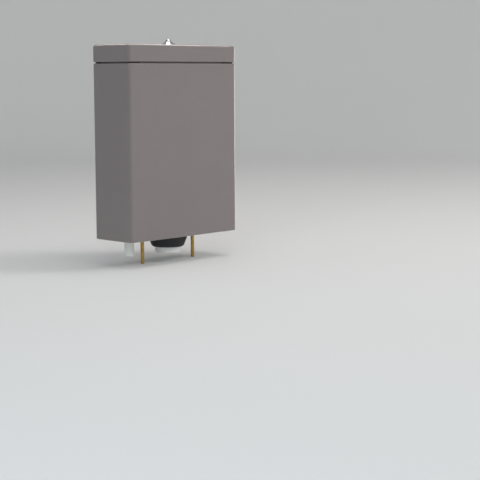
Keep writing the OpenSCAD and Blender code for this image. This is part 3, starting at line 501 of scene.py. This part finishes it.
def dress(names, material, crease=CREASE, soften=0.0):
    """Gives CAD nodes a material, even shading and, where asked, broken edges."""
    for name in names:
        node = NODES[name]
        mesh = node.data
        mesh.materials.clear()
        mesh.materials.append(material)
        if "custom_normal" in mesh.attributes:
            mesh.attributes.remove(mesh.attributes["custom_normal"])
        mesh.shade_smooth()
        weld = node.modifiers.new("join", "WELD")
        weld.merge_threshold = WELD_GAP
        if soften > 0.0:
            edge = node.modifiers.new("break_edges", "BEVEL")
            edge.width = soften
            edge.segments = 2
            edge.limit_method = "ANGLE"
            edge.angle_limit = math.radians(crease + BREAK_MARGIN)
            edge.use_clamp_overlap = True
        split = node.modifiers.new("crease", "EDGE_SPLIT")
        split.split_angle = math.radians(crease)
        split.use_edge_sharp = False
        even = node.modifiers.new("even_shading", "WEIGHTED_NORMAL")
        even.keep_sharp = True
        even.weight = EVEN_WEIGHT


def new_piece(name, points, faces, material, body, slot):
    """A smooth mesh piece with the given material, which rides on a body; the slot is not used."""
    mesh = bpy.data.meshes.new(name)
    mesh.from_pydata(points, [], faces)
    mesh.validate()
    mesh.update()
    mesh.shade_smooth()
    mesh.materials.append(material)
    piece = bpy.data.objects.new(name, mesh)
    bpy.context.scene.collection.objects.link(piece)
    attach(piece, body)
    return piece


def angles(count):
    """Angles of that many equal steps round a full turn."""
    return [2.0 * math.pi * k / count for k in range(count)]


def sweep(rings, closed_ends=True):
    """Points and faces of a skin over rings of equally many points."""
    count = len(rings[0])
    points = [p for ring in rings for p in ring]
    faces = []
    for i in range(len(rings) - 1):
        for k in range(count):
            a, b = i * count + k, i * count + (k + 1) % count
            faces.append((a, b, b + count, a + count))
    if closed_ends:
        faces.append(tuple(range(count))[::-1])
        faces.append(tuple((len(rings) - 1) * count + k for k in range(count)))
    return points, faces


def spring_rings(centre, radius, wire, turns, low, high, sides=10, steps=28):
    """Rings of round wire along a coil whose first and last turns lie closed."""
    closed = wire * CLOSED_TURN
    climb = (high - low - wire - 2.0 * closed) / turns
    total = (turns + 2) * steps
    rings = []
    for i in range(total + 1):
        t = i / steps
        height = min(t, 1.0) * closed + min(max(t - 1.0, 0.0), turns) * climb
        height += max(t - 1.0 - turns, 0.0) * closed
        turn = 2.0 * math.pi * t
        out = Vector((math.cos(turn), math.sin(turn), 0.0))
        middle = Vector((centre[0], centre[1], low + wire / 2.0 + height)) + out * radius
        thin = GROUND_END if i in (0, total) else 1.0
        rings.append([
            middle + (out * math.cos(a) + Vector((0.0, 0.0, math.sin(a)))) * (wire / 2.0 * thin)
            for a in angles(sides)
        ])
    return rings


def thread_rings(centre, radius, pitch, low, high, depth, steps=40):
    """Rings of a thread's ridge that runs in and out at its ends."""
    turns = (high - low - pitch) / pitch
    total = int(turns * steps)
    rings = []
    for i in range(total + 1):
        turn = 2.0 * math.pi * i / steps
        run_out = steps * THREAD_RUN_OUT
        fade = min(1.0, i / run_out, (total - i) / run_out)
        z = low + pitch / 2.0 + pitch * i / steps
        out = Vector((math.cos(turn), math.sin(turn), 0.0))
        base = Vector((centre[0], centre[1], z)) + out * radius
        crest = depth * fade
        rings.append([
            base - out * depth * THREAD_ROOT + Vector((0.0, 0.0, -pitch * THREAD_FOOT)),
            base + out * crest + Vector((0.0, 0.0, -pitch * THREAD_FLAT)),
            base + out * crest + Vector((0.0, 0.0, pitch * THREAD_FLAT)),
            base - out * depth * THREAD_ROOT + Vector((0.0, 0.0, pitch * THREAD_FOOT)),
        ])
    return rings


def rib(start, along, across, out, reach, width, height):
    """Points and faces of one raised moulded rib with sloping ends."""
    points, faces = [], []
    for part, tall in RIB_ENDS:
        at = start + along * (reach * part)
        for side, level in RIB_SECTION:
            lift = height * (level * tall if level > 0.0 else level)
            points.append(at + across * (width * side) + out * lift)
    row = len(RIB_SECTION)
    last = (len(RIB_ENDS) - 1) * row
    for first in range(0, last, row):
        for a in range(first, first + row - 1):
            faces.append((a, a + 1, a + row + 1, a + row))
    faces.append(tuple(range(row))[::-1])
    faces.append(tuple(range(last, last + row)))
    return points, faces


def gather(parts):
    """One list of points and one of faces from several."""
    points, faces = [], []
    for some_points, some_faces in parts:
        start = len(points)
        points += some_points
        faces += [tuple(i + start for i in face) for face in some_faces]
    return points, faces


def finish_named(name, make):
    """The material of that name, made when first needed."""
    return bpy.data.materials.get(name) or make()


def white_plastic():
    """The white moulded plastic."""
    s = bpy.context.scene.cistern_finish
    return finish_named("white_moulding", lambda: moulded_finish("white_moulding", s.white, 0.26))


def blue_plastic():
    """The blue moulded plastic."""
    s = bpy.context.scene.cistern_finish
    return finish_named("blue_moulding", lambda: moulded_finish("blue_moulding", s.blue, 0.36))


def grey_plastic():
    """The grey moulded plastic."""
    s = bpy.context.scene.cistern_finish
    return finish_named("grey_moulding", lambda: moulded_finish("grey_moulding", s.grey, 0.38))


def steel():
    """The drawn steel."""
    return finish_named("drawn_steel", lambda: steel_finish(bpy.context.scene.cistern_finish))


def brass():
    """The turned brass."""
    return finish_named("turned_brass", lambda: brass_finish(bpy.context.scene.cistern_finish))


def chrome():
    """The bright plating."""
    return finish_named("bright_chrome", lambda: chrome_finish(bpy.context.scene.cistern_finish))


class CISTERN_OT_ceramic(bpy.types.Operator):
    """Glaze the tank and the lid"""

    bl_idname = "cistern.ceramic"
    bl_label = "Ceramic"

    def execute(self, context):
        scene = context.scene
        dress(("tank", "lid"), glaze_finish(scene.cistern_glaze, scene.cistern_sizes), CERAMIC_CREASE)
        return {"FINISHED"}


class CISTERN_OT_button(bpy.types.Operator):
    """Plate the push button and cut its barrel's thread"""

    bl_idname = "cistern.button"
    bl_label = "Push button"

    def execute(self, context):
        s = context.scene.cistern_sizes
        dress(CHROME_PARTS, chrome(), CHROME_CREASE, s.soften)
        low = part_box("button_bezel")[0].z + BARREL_LOW_GAP
        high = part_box("bezel_nut")[0].z - BARREL_HIGH_GAP
        rings = thread_rings((0.0, -s.button_y), s.barrel_r, s.barrel_pitch, low, high, BARREL_DEPTH)
        new_piece("barrel_thread", *sweep(rings), chrome(), "lid", "chrome")
        return {"FINISHED"}


class CISTERN_OT_springs(bpy.types.Operator):
    """Wind the two return springs of the button"""

    bl_idname = "cistern.springs"
    bl_label = "Springs"

    def execute(self, context):
        s = context.scene.cistern_sizes
        for name, node, joint, radius, wire, turns in (
            ("ring_return_spring", "full_flush_spring", "full_press", s.ring_coil, s.ring_wire, s.ring_turns),
            ("dome_return_spring", "half_flush_spring", "half_press", s.dome_coil, s.dome_wire, s.dome_turns),
        ):
            low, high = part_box(node)
            rings = spring_rings((0.0, -s.button_y), radius, wire, turns, low.z, high.z)
            piece = new_piece(name, *sweep(rings), steel(), "lid", "stainless")
            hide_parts(node)
            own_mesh(piece)
        return {"FINISHED"}


class CISTERN_OT_mouldings(bpy.types.Operator):
    """Finish the plastic fittings and raise their ribs"""

    bl_idname = "cistern.mouldings"
    bl_label = "Mouldings"

    def execute(self, context):
        s = context.scene.cistern_sizes
        dress(WHITE_MOULDINGS, white_plastic(), soften=s.soften)
        dress(BLUE_MOULDINGS, blue_plastic(), soften=s.soften)
        dress(GREY_MOULDINGS, grey_plastic(), soften=s.soften)
        up = Vector((0.0, 0.0, 1.0))
        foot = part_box("flush_valve_tower")[0].z + TOWER_RIB_START
        ribs = []
        for side in (-1.0, 1.0):
            across, out = Vector((side, 0.0, 0.0)), Vector((0.0, side, 0.0))
            for x in TOWER_RIB_PLACES:
                ribs.append(rib(Vector((x, side * TOWER_FACE, foot)), up, across, out, **TOWER_RIB))
        new_piece("tower_ribs", *gather(ribs), blue_plastic(), "cistern", "blue_plastic")
        low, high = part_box("float_cup")
        middle = (low + high) / 2.0
        radius = (high.x - low.x) / 2.0
        ribs = []
        for k in range(FLOAT_RIBS):
            turn = 2.0 * math.pi * (k + 0.5) / FLOAT_RIBS
            out = Vector((math.cos(turn), math.sin(turn), 0.0))
            face = Vector((middle.x, middle.y, low.z + FLOAT_RIB_START)) + out * radius
            ribs.append(rib(face, up, out.cross(up), out, **FLOAT_RIB))
        new_piece("float_ribs", *gather(ribs), grey_plastic(), "fill_float", "grey_plastic")
        return {"FINISHED"}


class CISTERN_OT_seals(bpy.types.Operator):
    """Finish the rubber seals and washers"""

    bl_idname = "cistern.seals"
    bl_label = "Seals"

    def execute(self, context):
        s = context.scene.cistern_finish
        soft = context.scene.cistern_sizes.soften
        dress(BLACK_SEALS, rubber_finish("black_rubber", s.rubber, dust=0.55), soften=soft)
        dress(("outlet_seal",), rubber_finish("red_silicone", s.silicone, dust=0.20), soften=soft)
        return {"FINISHED"}


class CISTERN_OT_metal(bpy.types.Operator):
    """Finish the steel and brass fittings and weave the strainer"""

    bl_idname = "cistern.metal"
    bl_label = "Metal fittings"

    def execute(self, context):
        s = context.scene.cistern_sizes
        dress(STEEL_PARTS, steel(), soften=s.soften)
        dress(BRASS_PARTS, brass(), soften=s.soften)
        low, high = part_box("inlet_filter")
        middle = (low + high) / 2.0
        bore = (high.x - low.x) / 2.0 - WIRE_RIM
        wires = []
        for k in range(-WIRES_EACH_SIDE, WIRES_EACH_SIDE + 1):
            off = k * WIRE_STEP
            half = math.sqrt(max(bore * bore - off * off, 0.0)) + WIRE_HOLD
            for axis, lift in WIRE_LAYERS:
                across = Vector((axis.y, axis.x, 0.0))
                start = Vector((middle.x, middle.y, low.z + lift)) + across * off
                rings = []
                for t in WIRE_STATIONS:
                    at = start + axis * (half * t)
                    rings.append([
                        at + (across * math.cos(a) + Vector((0.0, 0.0, math.sin(a)))) * WIRE_RADIUS
                        for a in angles(WIRE_SIDES)
                    ])
                wires.append(sweep(rings))
        new_piece("strainer_wires", *gather(wires), brass(), "cistern", "brass")
        return {"FINISHED"}


class CISTERN_OT_threads(bpy.types.Operator):
    """Cut the threads of the outlet, the inlet and the bolts"""

    bl_idname = "cistern.threads"
    bl_label = "Threads"

    def execute(self, context):
        s = context.scene.cistern_sizes
        rings = thread_rings(
            (0.0, 0.0), OUTLET_RADIUS, s.tail_pitch, *OUTLET_REACH, OUTLET_DEPTH, OUTLET_STEPS)
        new_piece("outlet_thread", *sweep(rings), white_plastic(), "cistern", "white_plastic")
        low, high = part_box("inlet_nut")
        middle = (low + high) / 2.0
        rings = thread_rings((middle.x, middle.y), INLET_RADIUS, s.shank_pitch, *INLET_REACH, INLET_DEPTH)
        new_piece("inlet_thread", *sweep(rings), white_plastic(), "cistern", "white_plastic")
        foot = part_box("coupling_bolts")[0].z + BOLT_LOW_GAP
        bolts = []
        for x in BOLT_PLACES:
            rings = thread_rings(
                (x, 0.0), BOLT_RADIUS, s.bolt_pitch, foot, BOLT_TOP, BOLT_DEPTH, BOLT_STEPS)
            bolts.append(sweep(rings))
        new_piece("bolt_threads", *gather(bolts), brass(), "cistern", "brass")
        return {"FINISHED"}


class CISTERN_OT_stage(bpy.types.Operator):
    """Set up the floor, the lamps and the camera"""

    bl_idname = "cistern.stage"
    bl_label = "Stage"

    def execute(self, context):
        scene = context.scene
        s = scene.cistern_stage
        floor_z = CAD_BOX[0][2] - FLOOR_DROP
        profile = [(r, 0.0) for r in FLOOR_RADII]
        for k in range(1, CURVE_STEPS + 1):
            bend = math.pi / 2.0 * k / CURVE_STEPS
            profile.append((
                FLOOR_RADII[-1] + FLOOR_CURVE * math.sin(bend), FLOOR_CURVE - FLOOR_CURVE * math.cos(bend)))
        profile += [(FLOOR_RADII[-1] + FLOOR_CURVE, h) for h in WALL_HEIGHTS]
        rings = [
            [Vector((r * math.cos(a), r * math.sin(a), floor_z + h)) for a in angles(FLOOR_SIDES)]
            for r, h in profile
        ]
        points, faces = sweep(rings, closed_ends=False)
        faces = [face[::-1] for face in faces] + [tuple(range(FLOOR_SIDES))]
        mesh = bpy.data.meshes.new("floor")
        mesh.from_pydata(points, [], faces)
        mesh.update()
        mesh.shade_smooth()
        mesh.materials.append(floor_finish(s))
        floor = bpy.data.objects.new("floor", mesh)
        scene.collection.objects.link(floor)
        # A lamp shows in everything, only as even light, only in gloss, or only in the gloss of the glaze.
        glazed = bpy.data.collections.new("glazed_pieces")
        for name in ("tank", "lid"):
            glazed.objects.link(NODES[name])
        for name, place, wide, high, shows, watts, tint in (
            ("key_lamp", (3.7, -3.3, 2.65), 1.9, 1.4, "diffuse", s.key, (1.0, 0.985, 0.965)),
            ("top_lamp", (0.2, -0.6, 3.0), 2.4, 2.4, "all", s.top, (1.0, 0.97, 0.93)),
            ("side_lamp", (-2.9, -2.0, 1.2), 1.8, 1.8, "diffuse", s.side, (0.70, 0.87, 1.0)),
            ("edge_lamp", (0.4, 0.5, 3.3), 1.3, 1.3, "gloss", s.edge, (1.0, 0.95, 0.90)),
            ("front_edge_lamp", (2.27, 0.33, 2.8), 1.6, 0.4, "glaze", s.front_edge, (1.0, 0.92, 0.84)),
            ("side_edge_lamp", (0.33, 2.4, 2.7), 1.6, 0.4, "glaze", s.side_edge, (1.0, 0.92, 0.84)),
            ("strip_lamp", (2.6, 0.1, 0.25), 1.3, 0.8, "glaze", s.strip, (1.0, 0.84, 0.72)),
        ):
            lamp = bpy.data.lights.new(name, "AREA")
            lamp.shape = "RECTANGLE"
            lamp.size = wide
            lamp.size_y = high
            lamp.energy = watts
            lamp.color = tint
            lamp_object = bpy.data.objects.new(name, lamp)
            lamp_object.visible_camera = False
            lamp_object.visible_diffuse = shows not in ("gloss", "glaze")
            lamp_object.visible_glossy = shows != "diffuse"
            if shows == "glaze":
                lamp_object.light_linking.receiver_collection = glazed
            lamp_object.location = place
            aim = Vector(LAMP_AIM) - Vector(place)
            lamp_object.rotation_euler = aim.to_track_quat("-Z", "Y").to_euler()
            scene.collection.objects.link(lamp_object)
        world = bpy.data.worlds.new("soft_sky")
        scene.world = world
        world.use_nodes = True
        sky = world.node_tree.nodes["Background"]
        sky.inputs["Color"].default_value = SKY_TINT
        sky.inputs["Strength"].default_value = s.sky
        yaw, pitch, roll = s.turn
        level = math.cos(pitch)
        ahead = Vector((-math.sin(yaw) * level, math.cos(yaw) * level, -math.sin(pitch)))
        right = Vector((math.cos(yaw), math.sin(yaw), 0.0))
        above = right.cross(ahead)
        tilted = right * math.cos(roll) + above * math.sin(roll)
        above = tilted.cross(ahead)
        camera = bpy.data.cameras.new("camera")
        camera.sensor_width = 36.0
        camera.lens = s.lens
        camera.clip_start = 0.05
        camera.clip_end = 50.0
        camera_object = bpy.data.objects.new("camera", camera)
        turned = Matrix((tilted, above, -ahead)).transposed()
        camera_object.matrix_world = Matrix.Translation(Vector(s.eye)) @ turned.to_4x4()
        scene.collection.objects.link(camera_object)
        scene.camera = camera_object
        scene.view_settings.view_transform = "Standard"
        return {"FINISHED"}


OPERATORS = (
    CISTERN_OT_ceramic,
    CISTERN_OT_button,
    CISTERN_OT_springs,
    CISTERN_OT_mouldings,
    CISTERN_OT_seals,
    CISTERN_OT_metal,
    CISTERN_OT_threads,
    CISTERN_OT_stage,
)
SETTINGS = (
    ("cistern_glaze", CisternGlaze),
    ("cistern_finish", CisternFinish),
    ("cistern_sizes", CisternSizes),
    ("cistern_stage", CisternStage),
)


class CISTERN_PT_panel(bpy.types.Panel):
    """Settings and steps of the cistern's looks"""

    bl_idname = "CISTERN_PT_panel"
    bl_label = "Cistern"
    bl_space_type = "VIEW_3D"
    bl_region_type = "UI"
    bl_category = "Cistern"

    def draw(self, context):
        layout = self.layout
        for name, group in SETTINGS:
            box = layout.box()
            settings = getattr(context.scene, name)
            for setting in group.__annotations__:
                box.prop(settings, setting)
        for operator in OPERATORS:
            layout.operator(operator.bl_idname)


def register():
    for name, group in SETTINGS:
        bpy.utils.register_class(group)
        setattr(bpy.types.Scene, name, PointerProperty(type=group))
    for operator in OPERATORS:
        bpy.utils.register_class(operator)
    bpy.utils.register_class(CISTERN_PT_panel)


def unregister():
    bpy.utils.unregister_class(CISTERN_PT_panel)
    for operator in reversed(OPERATORS):
        bpy.utils.unregister_class(operator)
    for name, group in reversed(SETTINGS):
        delattr(bpy.types.Scene, name)
        bpy.utils.unregister_class(group)


def main():
    register()
    bpy.ops.cistern.ceramic()
    bpy.ops.cistern.button()
    bpy.ops.cistern.springs()
    bpy.ops.cistern.mouldings()
    bpy.ops.cistern.seals()
    bpy.ops.cistern.metal()
    bpy.ops.cistern.threads()
    bpy.ops.cistern.stage()
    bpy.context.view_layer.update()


if __name__ == "__main__":
    main()
